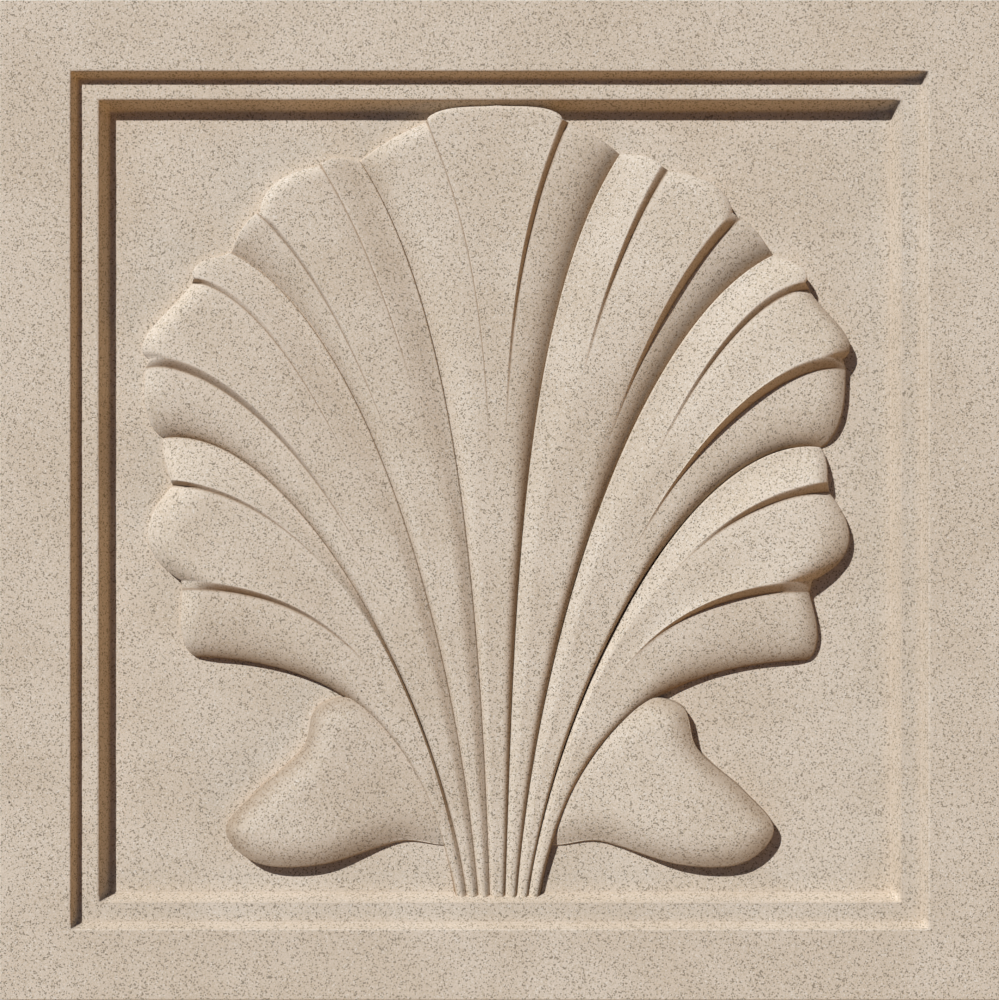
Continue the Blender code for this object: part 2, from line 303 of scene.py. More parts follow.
EDGES: tuple[Edge, ...] = (
    Edge(swell=4.0, peak=0.70, roll=4, wall=0.85),
    Edge(swell=1.5, peak=0.60, roll=12, wall=0.60),
    Edge(swell=3.0, peak=0.60, roll=8, wall=0.85),
    Edge(swell=8.0, peak=0.60, roll=10, wall=0.65),
    Edge(swell=2.0, peak=0.40, roll=8, wall=0.85),
    Edge(swell=5.5, peak=0.70, roll=8, wall=0.85),
    Edge(swell=8.5, peak=0.80, roll=16, wall=0.45),
    Edge(swell=6.5, peak=0.62, roll=17, wall=0.45),
    Edge(swell=2.0, peak=0.40, roll=10, wall=0.55),
    Edge(swell=18.0, peak=0.52, roll=26, wall=0.35),
    Edge(swell=6.0, peak=0.66, roll=14, wall=0.40),
)

PETALS: tuple[Petal, ...] = (
    Petal(crest_middle=10.2, crest_rim=11.8, valley_middle=4.6, valley_rim=1.2),
    Petal(crest_middle=9.8, crest_rim=13.0, valley_middle=4.2, valley_rim=1.0),
    Petal(crest_middle=9.4, crest_rim=14.5, valley_middle=3.4, valley_rim=0.8),
    Petal(crest_middle=9.0, crest_rim=15.0, valley_middle=0.0, valley_rim=0.0),
)


@dataclass(frozen=True)
class LeafSize:
    """Outline and heights of a lower leaf, in mm.

    It rises from height_at_stem to its height at the share full_at of its width, and rolls down at its edge,
    of which the share wall stands nearly upright. Its edge is darkened with painted shade over stain_reach,
    for the shade where it rolls down, and worn more and more by worn_power. ripple_shift moves its unevenness
    so that it isn't the shell's.
    """

    centre: tuple[float, float] = (104.0, -176.0)
    outline: tuple[tuple[float, float], ...] = (
        (112.5, -124.5),
        (123, -151.5),
        (151, -177),
        (169.5, -201),
        (150, -221.5),
        (111, -222.5),
        (63, -208.5),
        (30, -208.5),
        (36, -168),
        (80, -124),
    )
    left_shift: float = -3.0
    height: float = 13.5
    height_at_stem: float = 5.0
    full_at: float = 0.7
    roll: float = 21.0
    wall: float = 0.54
    fillet: float = 0.7
    # painted shade where the leaf rolls down to the floor
    stain: float = 0.5
    stain_reach: float = 8.5
    worn: float = 0.4
    worn_power: float = 24.0
    ripple_shift: float = 40.0


@dataclass(frozen=True)
class Fineness:
    """How fine the carved skin's mesh is; lengths in mm.

    A strip has columns close together above a step, below a step and beside a valley, none of them past
    nearest_share of its width, and others column_gap apart between these. rim_rows are its rows near the
    rim, by their distance inside it. The block has rings of block_side quads on each side.
    """

    curve_samples: int = 129
    rows_inside: int = 86
    rim_rows: tuple[float, ...] = (
        -0.7, -0.4, -0.15, 0, 0.12, 0.35, 0.8, 1.5, 2.4, 3.6, 5.2, 7.2, 9.6, 12.4, 15.6, 19.2, 23.2, 27.6
    )
    above_step: tuple[float, ...] = (0, 0.35, 0.8, 1.5, 2.6)
    below_step: tuple[float, ...] = (0, 0.4, 0.9, 1.6, 2.8, 4.2, 4.9, 7.0)
    beside_valley: tuple[float, ...] = (0, 0.1, 0.3, 0.55, 0.85, 1.4, 2.2, 3.4, 5.0, 7.0)
    nearest_share: float = 0.45
    column_gap: float = 3.4
    wall_columns: int = 7
    fillet_shares: tuple[float, ...] = (0.35, 0.7, 1.0)
    leaf_knot_samples: int = 24
    leaf_spokes: int = 180
    leaf_rings: int = 34
    leaf_ring_power: float = 2.4
    block_side: int = 100
    corner_points: int = 5
    corner_support: float = 1.5
    floor_rings: tuple[float, ...] = (0.97, 0.6, 0.0)


@dataclass(frozen=True)
class Grain:
    """One kind of grain: its sRGB colour, the share of grains that are of it, and how well these cover.

    Each grain has three random numbers, and one of them, at channel, picks the kind where it is near end.
    """

    colour: str
    channel: int
    end: float
    share: float
    cover: float


@dataclass(frozen=True)
class StoneFinish:
    """Colours and grain of the cast stone; colours as sRGB hex, lengths in mm.

    The sand in such stone is 0.6 to 1.2 mm, and grain is the spacing of its cells. fine_grain, the cement and
    dust between, is really finer, and drawn this coarse, nearly a pixel, so that it shows. patch is the size
    of the slow drift in tone, and pore_spacing that of cells that hold a pinhole where pore_share picks them.
    Where the stone is worn, worn_grain of its grain is gone, and worn_tone of its tone is the worn colour.
    relief is how high the surface stands, and grain_rise a grain's share in that against the fine grain.
    """

    ground: str = "#CFBBA1"
    patchy: str = "#C9B499"
    worn: str = "#D3C0A7"
    # painted shade: the brown that darkens the stone where light doesn't reach
    stain: str = "#7D5A31"
    # painted shade inside a pinhole
    pore_shade: str = "#3A3026"
    grains: tuple[Grain, ...] = (
        Grain("#A9926F", channel=1, end=0.0, share=0.26, cover=0.42),
        Grain("#EDE3D0", channel=2, end=1.0, share=0.05, cover=0.32),
        Grain("#75664F", channel=0, end=0.0, share=0.13, cover=0.76),
    )
    grain: float = 0.72
    fine_grain: float = 0.45
    patch: float = 55.0
    patch_range: tuple[float, float] = (0.35, 0.65)
    tone_range: tuple[float, float] = (0.3, 0.7)
    tone: tuple[float, float] = (0.92, 1.08)
    worn_grain: float = 0.8
    worn_tone: float = 0.7
    pore_spacing: float = 14.0
    pore_radius: tuple[float, float] = (0.03, 0.05)
    pore_cover: float = 0.85
    pore_share: float = 0.08
    relief: float = 0.16
    relief_strength: float = 0.5
    grain_rise: float = 0.6
    roughness: float = 0.88
    sheen: float = 0.25


@dataclass(frozen=True)
class StudioSize:
    """Camera, lights and floor; lengths in metres but the sensor in mm, light colours linear.

    distance is the camera's from the face. The key stands for the sun and the bounce for its warm return from
    the ground. The fill is front_fill from the camera's side and back_fill from behind, and turns from one to
    the other over fill_turn.
    """

    image: tuple[int, int] = (999, 1000)
    distance: float = 0.95
    camera_x: float = 0.030
    camera_z: float = -0.072
    sensor: float = 36.0
    to_key: Triple = (-0.722, -1.0, 0.87)
    key_strength: float = 4.72
    key_angle: float = math.radians(1.3)
    key_colour: Triple = (0.925, 1.015, 1.165)
    to_bounce: Triple = (0.70, -0.16, -0.70)
    bounce_strength: float = 1.15
    bounce_angle: float = math.radians(40)
    bounce_colour: Triple = (1.0, 0.60, 0.16)
    to_back_light: Triple = (0.5, 1.0, 0.6)
    back_strength: float = 1.4
    back_angle: float = math.radians(30)
    back_colour: Triple = (1.0, 1.0, 1.0)
    front_fill: Triple = (0.066, 0.072, 0.118)
    back_fill: Triple = (0.62, 0.62, 0.64)
    fill_turn: tuple[float, float] = (-0.05, 0.5)
    backdrop: str = "#E4E2DE"
    floor_colour: str = "#E4E1DB"
    floor_roughness: float = 0.7
    floor_size: float = 6.0
    floor_gap: float = 0.0005


def srgb(colour: str) -> tuple[float, float, float, float]:
    """Turns an sRGB hex colour into the linear one that shaders take.

    Args:
        colour: The colour as #RRGGBB.

    Returns:
        Red, green, blue and alpha, linear.
    """
    parts = [int(colour[start : start + 2], 16) / 255 for start in (1, 3, 5)]
    linear = [part / 12.92 if part <= 0.04045 else ((part + 0.055) / 1.055) ** 2.4 for part in parts]
    return (linear[0], linear[1], linear[2], 1.0)


def add_node(
    tree: bpy.types.NodeTree, kind: str, inputs: dict[str | int, object] | None = None, **settings: object
) -> bpy.types.Node:
    """Adds a node with its settings and links.

    Args:
        tree: The node tree that it goes into.
        kind: The node's type.
        inputs: Values or output sockets, by input name or number.
        **settings: The node's own settings.

    Returns:
        The node.
    """
    node = tree.nodes.new(kind)
    for name, value in settings.items():
        setattr(node, name, value)
    for name, value in (inputs or {}).items():
        if isinstance(value, Socket):
            tree.links.new(value, node.inputs[name])
        else:
            node.inputs[name].default_value = value
    return node


def smooth_step(value: Array | float) -> Array:
    """0 to 1 along an S, level at both ends."""
    value = np.clip(value, 0.0, 1.0)
    return value * value * (3 - 2 * value)


def bell(distance: Array | float, width: Array | float) -> Array:
    """1 at no distance, falling off like a bell of the given width."""
    return np.exp(-((distance / width) ** 2))


def quarter_round(distance: Array, radius: Array | float) -> Array:
    """0 at an edge, rising as a quarter of an ellipse to 1 at the radius."""
    share = np.clip(distance / radius, 0.0, 1.0)
    return np.sqrt(1 - (1 - share) ** 2)


def hollow(share: Array | float) -> Array:
    """The height of a fillet of radius 1: 1 at its inner end and 0 at its outer end, a share of 1 away."""
    return 1 - np.sqrt(1 - (1 - np.clip(share, 0.0, 1.0)) ** 2)


def walled_flank(
    distance: Array,
    reach: Array | float,
    wall: Array | float,
    narrow_wall: float,
    power: float = 1.0,
    rounding: float = 2.0,
) -> Array:
    """A flank whose lowest part stands nearly upright.

    Args:
        distance: Distances from its edge, in mm.
        reach: How far in it reaches, in mm.
        wall: The share of its height that stands nearly upright.
        narrow_wall: How far in that part reaches, in mm.
        power: The higher, the gentler the foot of the rest.
        rounding: The higher, the steeper the foot of the rest.

    Returns:
        Shares of its height, 0 at the edge and 1 at the reach.
    """
    share = np.clip(distance / reach, 0.0, 1.0)
    rest = (1 - (1 - share) ** rounding) ** power
    return wall * quarter_round(distance, narrow_wall) + (1 - wall) * rest


def run_lengths(points: Array) -> Array:
    """The length of a line of points up to each of them."""
    return np.concatenate([[0.0], np.cumsum(np.linalg.norm(np.diff(points, axis=0), axis=1))])


def at_shares(line: Array, shares: Array, where: Array) -> Array:
    """Points at the given shares of a line, where says at which share each of its own points is."""
    return np.stack([np.interp(shares, where, axis) for axis in line.T], axis=1)


def resample(line: Array, shares: Array) -> Array:
    """Points at the given shares of a line's length."""
    lengths = run_lengths(line)
    return at_shares(line, shares * lengths[-1], lengths)


@dataclass(frozen=True)
class Column:
    """One column of a strip between two folds, from the stem's foot to past the rim; lengths in mm.

    across is its share of the strip's width and gap that width at the rim. The arrays hold, row by row, the
    share of its length, the distances to the rim and to the petal's valleys, and how far a flank reaches.
    """

    unit: int
    side: Side
    across: float
    gap: float
    along: Array
    from_rim: Array
    to_inner: Array
    to_outer: Array
    reach: Array


@dataclass
class Skin:
    """A mesh in the making: points, faces, and at each point how smooth the stone is and how much painted
    shade it carries.
    """

    points: list[Array] = field(default_factory=list)
    looks: list[Array] = field(default_factory=list)
    faces: list[Array] = field(default_factory=list)
    count: int = 0

    def add_grid(self, grid: Array, looks: Array, closed: bool = False) -> None:
        """Adds a sheet of quads.

        Args:
            grid: Points in metres, by column, row and axis.
            looks: Smoothness and painted shade, each from 0 to 1, by column and row.
            closed: Whether the last column joins the first.
        """
        columns, rows = grid.shape[:2]
        number = np.arange(columns * rows).reshape(columns, rows) + self.count
        after = np.roll(number, -1, axis=0) if closed else number[1:]
        before = number if closed else number[:-1]
        quads = [before[:, :-1], after[:, :-1], after[:, 1:], before[:, 1:]]
        self.faces.append(np.stack([corner.ravel() for corner in quads], axis=1))
        self.points.append(grid.reshape(-1, 3))
        self.looks.append(looks.reshape(-1, 2))
        self.count += columns * rows

    def make_object(self, name: str, material: bpy.types.Material) -> bpy.types.Object:
        """Makes the object.

        Args:
            name: Its name.
            material: Its material.

        Returns:
            The object, linked to the scene and shaded smooth.
        """
        mesh = bpy.data.meshes.new(name)
        points = np.concatenate(self.points)
        faces = np.concatenate(self.faces)
        mesh.vertices.add(len(points))
        mesh.vertices.foreach_set("co", points.astype(np.float32).ravel())
        mesh.loops.add(faces.size)
        mesh.loops.foreach_set("vertex_index", faces.astype(np.int32).ravel())
        mesh.polygons.add(len(faces))
        mesh.polygons.foreach_set("loop_start", np.arange(0, faces.size, 4, dtype=np.int32))
        mesh.update(calc_edges=True)
        mesh.validate()
        mesh.shade_smooth()
        looks = np.concatenate(self.looks).astype(np.float32)
        for number, title in enumerate(("smoothness", "stain")):
            attribute = mesh.attributes.new(title, "FLOAT", "POINT")
            attribute.data.foreach_set("value", np.ascontiguousarray(looks[:, number]))
        mesh.materials.append(material)
        obj = bpy.data.objects.new(name, mesh)
        bpy.context.scene.collection.objects.link(obj)
        log.info("%s: %d quads", name, len(faces))
        return obj


@dataclass
class Shell:
    """The fluted shell's surface, half by half."""

    size: ShellSize
    wear_and_shade: WearAndPaintedShade
    panel: PanelSize
    fine: Fineness

    def __post_init__(self) -> None:
        """Works out the floor that the shell stands on and how much larger than drawn the shell is."""
        floor_half, floor_depth = self.panel.squares()[-1]
        self.scale = 2 * floor_half / self.size.drawn_floor
        self.floor_y = floor_depth - self.panel.thickness
        self.along_curve = np.linspace(0, 1, self.fine.curve_samples)

    @staticmethod
    def petal_of(unit: int) -> int:
        """The number of the petal that a strip between two folds belongs to."""
        return (unit + 1) // 3

    def to_panel(self, drawn: Array) -> Array:
        """Brings drawn points into the frame.

        Args:
            drawn: Points as x, z and height above the recess floor, in mm.

        Returns:
            The points in the frame, in metres.
        """
        x, z, height = np.moveaxis(np.asarray(drawn, float), -1, 0)
        x = self.size.axis_x * MM + x * self.scale
        return np.stack([x, self.floor_y - height * MM, z * self.scale], axis=-1)

    def fold_curve(self, index: int, side: Side) -> Array:
        """Points of one fold.

        Args:
            index: The fold's number, from the axis outwards.
            side: The half that it is on.

        Returns:
            Points evenly spaced from foot to rim, in mm.
        """
        fold, size = FOLDS[index], self.size
        foot = np.array([size.stem_pitch * index, -size.drawn_floor / 2 - size.foot_tuck])
        tip = np.array(fold.tip, float)
        if side is Side.LEFT:
            tip += fold.left
        lean = math.radians(size.stem_lean * index)
        turn = math.radians(fold.turn)
        after_foot = foot + fold.rise * np.array([math.sin(lean), math.cos(lean)])
        before_tip = tip - fold.pull * np.array([math.sin(turn), math.cos(turn)])
        t = np.linspace(0, 1, 4 * self.fine.curve_samples)[:, None]
        points = (1 - t) ** 3 * foot + 3 * (1 - t) ** 2 * t * after_foot
        points += 3 * (1 - t) * t**2 * before_tip + t**3 * tip
        return resample(points, self.along_curve)

    @staticmethod
    def swell(edge: Edge, across: float) -> float:
        """How far a rim swells out between its two folds.

        Args:
            edge: The rim.
            across: The share of the way from the inner fold to the outer.

        Returns:
            The swelling in mm, 0 at both folds.
        """
        before, after = 2 * edge.peak, 2 - 2 * edge.peak
        most = edge.peak**before * (1 - edge.peak) ** after
        return edge.swell * across**before * (1 - across) ** after / most

    def value_along(self, foot: float, middle: float, rim: float, along: Array, end: float) -> Array:
        """A value that changes from foot to rim.

        Args:
            foot: The value at the foot.
            middle: The value halfway up.
            rim: The value at the rim.
            along: Shares of the length.
            end: The share from which the value is that at the rim.

        Returns:
            The value at each share.
        """
        half = self.size.middle
        lower = smooth_step(along / half)
        upper = smooth_step((along - half) / (end - half))
        return foot + (middle - foot) * lower + (rim - middle) * upper

    def height_along(self, foot: float, middle: float, rim: float, along: Array) -> Array:
        """A height from foot to rim, in mm."""
        return self.value_along(foot, middle, rim, along, self.size.height_full_at)

    def reach_along(self, along: Array, width: Array) -> Array:
        """How far a flank reaches from its valley.

        Args:
            along: Shares of the length.
            width: The petal's width at each of them, in mm.

        Returns:
            The reach at each share, in mm.
        """
        size = self.size
        reaches = (size.reach_at_foot, size.reach_middle, size.reach_at_rim)
        reach = self.value_along(*reaches, along, size.reach_full_at)
        return np.minimum(reach, size.half_width * width)

    def valley_along(self, number: int, along: Array) -> Array:
        """The height of the valley on the outer side of a petal.

        Args:
            number: The petal's number; the last one ends at the recess floor.
            along: Shares of the length.

        Returns:
            The height at each share, in mm.
        """
        if number == len(PETALS) - 1:
            return np.zeros_like(along)
        petal = PETALS[number]
        return self.height_along(self.size.valley_at_foot, petal.valley_middle, petal.valley_rim, along)

    def step_along(self, fold: Fold, along: Array, side: Side) -> Array:
        """A fold's step from foot to rim, in mm."""
        return fold.step_on(side) * smooth_step((along - fold.fade) / (1 - fold.fade) / self.size.step_growth)

    def wall_width(self, fold: Fold, side: Side) -> Array:
        """How wide the wall below a fold's step is.

        Args:
            fold: The fold.
            side: The half that it is on.

        Returns:
            The width in mm at each point of the fold's curve.
        """
        size = self.size
        at_rim = max(size.wall_at_foot, size.wall_run * fold.step_on(side))
        share = np.clip((self.along_curve - fold.fade) / (1 - fold.fade), 0.0, 1.0)
        return size.wall_at_foot + (at_rim - size.wall_at_foot) * share

    def columns_across(self, unit: int, gap: float) -> list[float]:
        """Where a strip's columns are.

        Args:
            unit: The strip's number.
            gap: Its width at the rim, in mm.

        Returns:
            Shares of its width, closer together beside folds.
        """
        fine = self.fine
        near_inner = fine.below_step if FOLDS[unit].step else fine.beside_valley
        near_outer = fine.above_step if FOLDS[unit + 1].step else fine.beside_valley
        most = fine.nearest_share * gap
        starts = [place for place in near_inner if place < most] if unit else [0.0]
        ends = [gap - place for place in near_outer if place < most]
        first, last = starts[-1], ends[-1]
        steps = max(1, round((last - first) / fine.column_gap))
        between = [first + (last - first) * step / steps for step in range(1, steps)]
        return sorted(place / gap for place in starts + between + ends)

    def heights(self, column: Column) -> Array:
        """Heights of one column's points.

        Args:
            column: The column.

        Returns:
            Heights above the recess floor, in mm.
        """
        size, edge, along, side = self.size, EDGES[column.unit], column.along, column.side
        number = self.petal_of(column.unit)
        petal = PETALS[number]
        lowered = 1.0 if column.unit % 3 == 1 else (1 - column.across) ** size.lowered_power
        crest = self.height_along(size.rib_at_foot, petal.crest_middle, petal.crest_rim, along)
        crest = crest - (1 - size.lifted_share) * self.step_along(FOLDS[column.unit], along, side) * lowered
        lifted = self.step_along(FOLDS[column.unit + 1], along, side) * column.across**2
        crest = crest + size.lifted_share * lifted

        narrow = size.narrow_wall
        wall = size.outline_wall if number == len(PETALS) - 1 else 0.0
        rise = walled_flank(column.to_outer, column.reach, wall, narrow, rounding=size.outer_rounding)
        height = crest - (crest - self.valley_along(number, along)) * (1 - rise)
        if number > 0:
            wall = size.inner_wall if side is Side.RIGHT else size.left_inner_wall
            rise = walled_flank(column.to_inner, column.reach, wall, narrow, power=size.inner_power)
            height -= (crest - self.valley_along(number - 1, along)) * (1 - rise)

        rim = walled_flank(np.maximum(column.from_rim, 0), edge.roll, edge.wall, narrow)
        height = size.fillet + (height - size.fillet) * rim
        return np.where(column.from_rim < 0, size.fillet * hollow(-column.from_rim / size.fillet), height)

    def wear_and_shade_at(self, column: Column) -> Array:
        """How one column of the stone is worn, and the painted shade on it.

        Args:
            column: The column.

        Returns:
            Smoothness and painted shade at each point, from 0 to 1.
        """
        wear_and_shade, along, right = self.wear_and_shade, column.along, column.side is Side.RIGHT
        number = self.petal_of(column.unit)
        inner_fold, outer_fold = FOLDS[column.unit], FOLDS[column.unit + 1]
        width = wear_and_shade.line_width
        smooth = [wear_and_shade.smooth_rim * bell(column.from_rim, wear_and_shade.smooth_rim_width)]
        stains = []

        # painted shade: a valley is darkened on the shell's right and along its outline, which face away from
        # the key light, and only faintly on the left; thin dark lines are painted as shade in the creases,
        # and on the right along the rims, broadly where they roll far
        dark = right or number == len(PETALS) - 1
        valley_reach = np.minimum(wear_and_shade.valley_reach, wear_and_shade.valley_share * column.reach)
        stains.append((wear_and_shade.valley if dark else wear_and_shade.left_valley) * bell(column.to_outer, valley_reach))
        line = wear_and_shade.valley_line if dark else wear_and_shade.left_valley_line
        stains.append(line * bell(column.to_outer, width))
        if number > 0 and not right:
            stains.append(wear_and_shade.left_inner_line * bell(column.to_inner, width))
        if right:
            stains.append(wear_and_shade.rim_line * bell(column.from_rim, width))
        if right and EDGES[column.unit].roll > wear_and_shade.broad_roll:
            stains.append(wear_and_shade.rim * bell(column.from_rim, wear_and_shade.rim_reach))

        # rubbing has smoothed the foot of a step and the edge above one, and a dark line is painted as shade
        # in the crease at the step's foot
        if inner_fold.step:
            place = column.across * column.gap
            early = smooth_step((along - inner_fold.fade + wear_and_shade.line_before) / wear_and_shade.line_run)
            smooth.append(wear_and_shade.smooth_foot * early * (place < wear_and_shade.smooth_foot_width))
            stains.append(wear_and_shade.fold_line * early * bell(place * along, width))
        if outer_fold.step:
            place = (1 - column.across) * column.gap
            strength = smooth_step(self.step_along(outer_fold, along, column.side) / wear_and_shade.full_step)
            smooth.append(wear_and_shade.smooth_edge * strength * bell(place, wear_and_shade.smooth_edge_width))
        looks = np.stack([np.maximum.reduce(smooth), np.maximum.reduce(stains)], axis=-1)
        return np.clip(looks, 0, 1)

    def row_places(self, length: float) -> Array:
        """Distances of a column's rows from the foot, closer together at the rim."""
        rim = length - np.array(self.fine.rim_rows[::-1])
        return np.concatenate([np.linspace(0, rim[0], self.fine.rows_inside, endpoint=False), rim])

    @staticmethod
    def points_at(line: Array, places: Array) -> tuple[Array, Array]:
        """Points of a line, and past its end too.

        Args:
            line: The line's points.
            places: Distances from its foot, in mm.

        Returns:
            The points, and their shares of the line's length.
        """
        lengths = run_lengths(line)
        end = (line[-1] - line[-2]) / np.linalg.norm(line[-1] - line[-2])
        past = np.maximum(places - lengths[-1], 0)[:, None]
        return at_shares(line, places, lengths) + past * end, np.minimum(places / lengths[-1], 1.0)

    def strip(self, unit: int, side: Side, curves: list[Array]) -> list[tuple[Array, Array]]:
        """The surface between two folds.

        Args:
            unit: The strip's number, from the axis outwards.
            side: The half that it is on.
            curves: The curves of all folds on that half.

        Returns:
            For each column its (x, z, height) points in mm, and their smoothness and painted shade.
        """
        inner, outer = curves[unit], curves[unit + 1]
        petal = self.petal_of(unit)
        valleys = curves[max(0, 3 * petal - 1)], curves[3 * petal + 2]
        mirrored = 1 if petal else 2  # the middle petal goes on across the axis
        gaps = np.linalg.norm(outer - inner, axis=1)
        covered = np.ones_like(gaps)
        if FOLDS[unit + 1].step:
            covered = 1 - np.minimum(self.wall_width(FOLDS[unit + 1], side) / gaps, self.size.most_wall)
        chord = outer[-1] - inner[-1]
        outward = np.array([-chord[1], chord[0]]) / np.linalg.norm(chord)
        found = []
        for across in self.columns_across(unit, gaps[-1]):
            swell = self.swell(EDGES[unit], across) * self.along_curve**self.size.swell_power
            line = inner + (outer - inner) * (across * covered)[:, None] + swell[:, None] * outward
            length = run_lengths(line)[-1]
            places = self.row_places(length)
            points, along = self.points_at(line, places)
            inside, outside = (at_shares(valley, along, self.along_curve) for valley in valleys)
            column = Column(
                unit=unit,
                side=side,
                across=across,
                gap=float(gaps[-1]),
                along=along,
                from_rim=length - places,
                to_inner=np.linalg.norm(points - inside, axis=1),
                to_outer=np.linalg.norm(points - outside, axis=1),
                reach=self.reach_along(along, mirrored * np.linalg.norm(outside - inside, axis=1)),
            )
            found.append((np.column_stack([points, self.heights(column)]), self.wear_and_shade_at(column)))
        return found

    def wall(self, top: Array, foot: Array) -> list[tuple[Array, Array]]:
        """The wall below a fold's step, along a curve that steepens downwards.

        Args:
            top: The column that it starts from.
            foot: The column that it ends at.

        Returns:
            For each column between them its points, and their smoothness and painted shade.
        """
        size, wear_and_shade = self.size, self.wear_and_shade
        drop = foot[:, 2] - top[:, 2]
        depth = np.clip(-drop / wear_and_shade.deep_wall, 0, 1)
        found = []
        for number in range(self.fine.wall_columns):
            share = (number + 1) / (self.fine.wall_columns + 1)
            column = top + (foot - top) * share
            column[:, 2] = top[:, 2] + drop * share**size.wall_power
            # painted shade on a deep step's wall, darkest at its foot
            looks = np.stack([wear_and_shade.smooth_wall * depth, wear_and_shade.wall * depth * share], axis=-1)
            found.append((column, looks))
        return found

    def apron(self, last: Array, before: Array) -> list[Array]:
        """The shell's outline and the fillet that takes it down to the floor.

        Args:
            last: The outermost column.
            before: A column further in, which gives the way outwards.

        Returns:
            The outermost column, nowhere lower than the fillet, and those of the fillet.
        """
        fillet = self.size.fillet
        outward = last[:, :2] - before[:, :2]
        outward /= np.linalg.norm(outward, axis=1)[:, None]
        raised = last.copy()
        raised[:, 2] = np.maximum(last[:, 2], fillet)
        found = [raised]
        for share in self.fine.fillet_shares:
            column = raised.copy()
            column[:, :2] += outward * fillet * share
            column[:, 2] = fillet * hollow(share)
            found.append(column)
        return found

    def half(self, side: Side) -> tuple[Array, Array]:
        """One half of the surface.

        Args:
            side: Which half.

        Returns:
            Columns of (x, z, height) points in mm from the axis outwards, and their looks.
        """
        curves = [self.fold_curve(index, side) for index in range(len(FOLDS))]
        columns: list[Array] = []
        looks: list[Array] = []
        for unit in range(len(EDGES)):
            strip = self.strip(unit, side, curves)
            if unit and FOLDS[unit].step:
                strip = self.wall(columns[-1], strip[0][0]) + strip
            elif unit:
                strip = strip[1:]
            columns += [column for column, _ in strip]
            looks += [look for _, look in strip]
        columns[-1:] = self.apron(columns[-1], columns[-4])
        looks += [looks[-1]] * (len(columns) - len(looks))
        return np.stack(columns), np.stack(looks)

    def add_to(self, skin: Skin) -> None:
        """Adds both halves as one sheet.

        Args:
            skin: The skin that they are added to.
        """
        right, right_looks = self.half(Side.RIGHT)
        left, left_looks = self.half(Side.LEFT)
        grid = np.concatenate([left[:0:-1] * (-1, 1, 1), right])
        looks = np.concatenate([left_looks[:0:-1], right_looks])
        grid[..., 2] += self.size.ripple.at(grid[..., 0], grid[..., 1])
        skin.add_grid(self.to_panel(grid), looks)
        log.info("shell: %d columns", len(grid))


@dataclass
class Leaf:
    """One lower leaf, a low cushion on the floor, placed with the shell."""

    size: LeafSize
    side: Side
    shell: Shell
    fine: Fineness

    def outline(self) -> Array:
        """The leaf's outline, a smooth closed curve through the outline's points.

        Returns:
            Points evenly spaced round it, in mm.
        """
        knots = np.array(self.size.outline, float)
        t = np.linspace(0, 1, self.fine.leaf_knot_samples, endpoint=False)[:, None]
        pieces = []
        for index in range(len(knots)):
            before, start, end, after = (knots[(index + step) % len(knots)] for step in (-1, 0, 1, 2))
            pieces.append(
                start
                + 0.5 * t * (end - before)
                + t**2 * (before - 2.5 * start + 2 * end - 0.5 * after)
                + t**3 * (1.5 * start - 1.5 * end + 0.5 * after - 0.5 * before)
            )
        line = np.concatenate([*pieces, knots[:1]])
        shift = (0.0 if self.side is Side.RIGHT else self.size.left_shift, 0.0)
        return resample(line, np.linspace(0, 1, self.fine.leaf_spokes, endpoint=False)) + shift

    def add_to(self, skin: Skin) -> None:
        """Adds the leaf, drawn as rings from its middle to its edge and a fillet outside that.

        Args:
            skin: The skin that it is added to.
        """
        size, fine = self.size, self.fine
        outline = self.outline()
        centre = np.array(size.centre)
        if self.side is Side.LEFT:
            centre[0] += size.left_shift
        outward = (outline - centre) / np.linalg.norm(outline - centre, axis=1)[:, None]
        rings = 1 - np.linspace(1, 0, fine.leaf_rings) ** fine.leaf_ring_power
        share = np.concatenate([rings, np.ones(len(fine.fillet_shares))])
        drawn = centre + (outline - centre)[:, None] * share[None, :, None]

        stem_edge, outer_edge = outline[:, 0].min(), outline[:, 0].max()
        grown = smooth_step((drawn[..., 0] - stem_edge) / (outer_edge - stem_edge) / size.full_at)
        most = size.height_at_stem + (size.height - size.height_at_stem) * grown
        to_edge = np.linalg.norm(drawn[:, :, None] - outline[None, None], axis=-1).min(axis=-1)
        rise = walled_flank(to_edge, size.roll, size.wall * grown, self.shell.size.narrow_wall)
        height = size.fillet + (most - size.fillet) * rise
        for row, out in enumerate(fine.fillet_shares, start=len(rings)):
            drawn[:, row] += outward * size.fillet * out
            height[:, row] = size.fillet * hollow(out)
        height = height + self.shell.size.ripple.at(drawn[..., 0] + size.ripple_shift, drawn[..., 1])

        worn = np.broadcast_to(size.worn * share**size.worn_power, height.shape)
        # painted shade along the leaf's rolled edge, strongest towards its outer lobe
        stain = size.stain * grown * bell(to_edge, size.stain_reach)
        looks = np.stack([worn, stain], axis=-1)
        grid = np.concatenate([drawn, height[..., None]], axis=-1) * (self.side.value, 1, 1)
        if self.side is Side.LEFT:
            grid, looks = grid[::-1], looks[::-1]
        skin.add_grid(self.shell.to_panel(grid)[:, ::-1], looks[:, ::-1], closed=True)
        log.info("%s leaf: %d rings", self.side.name.lower(), len(share))


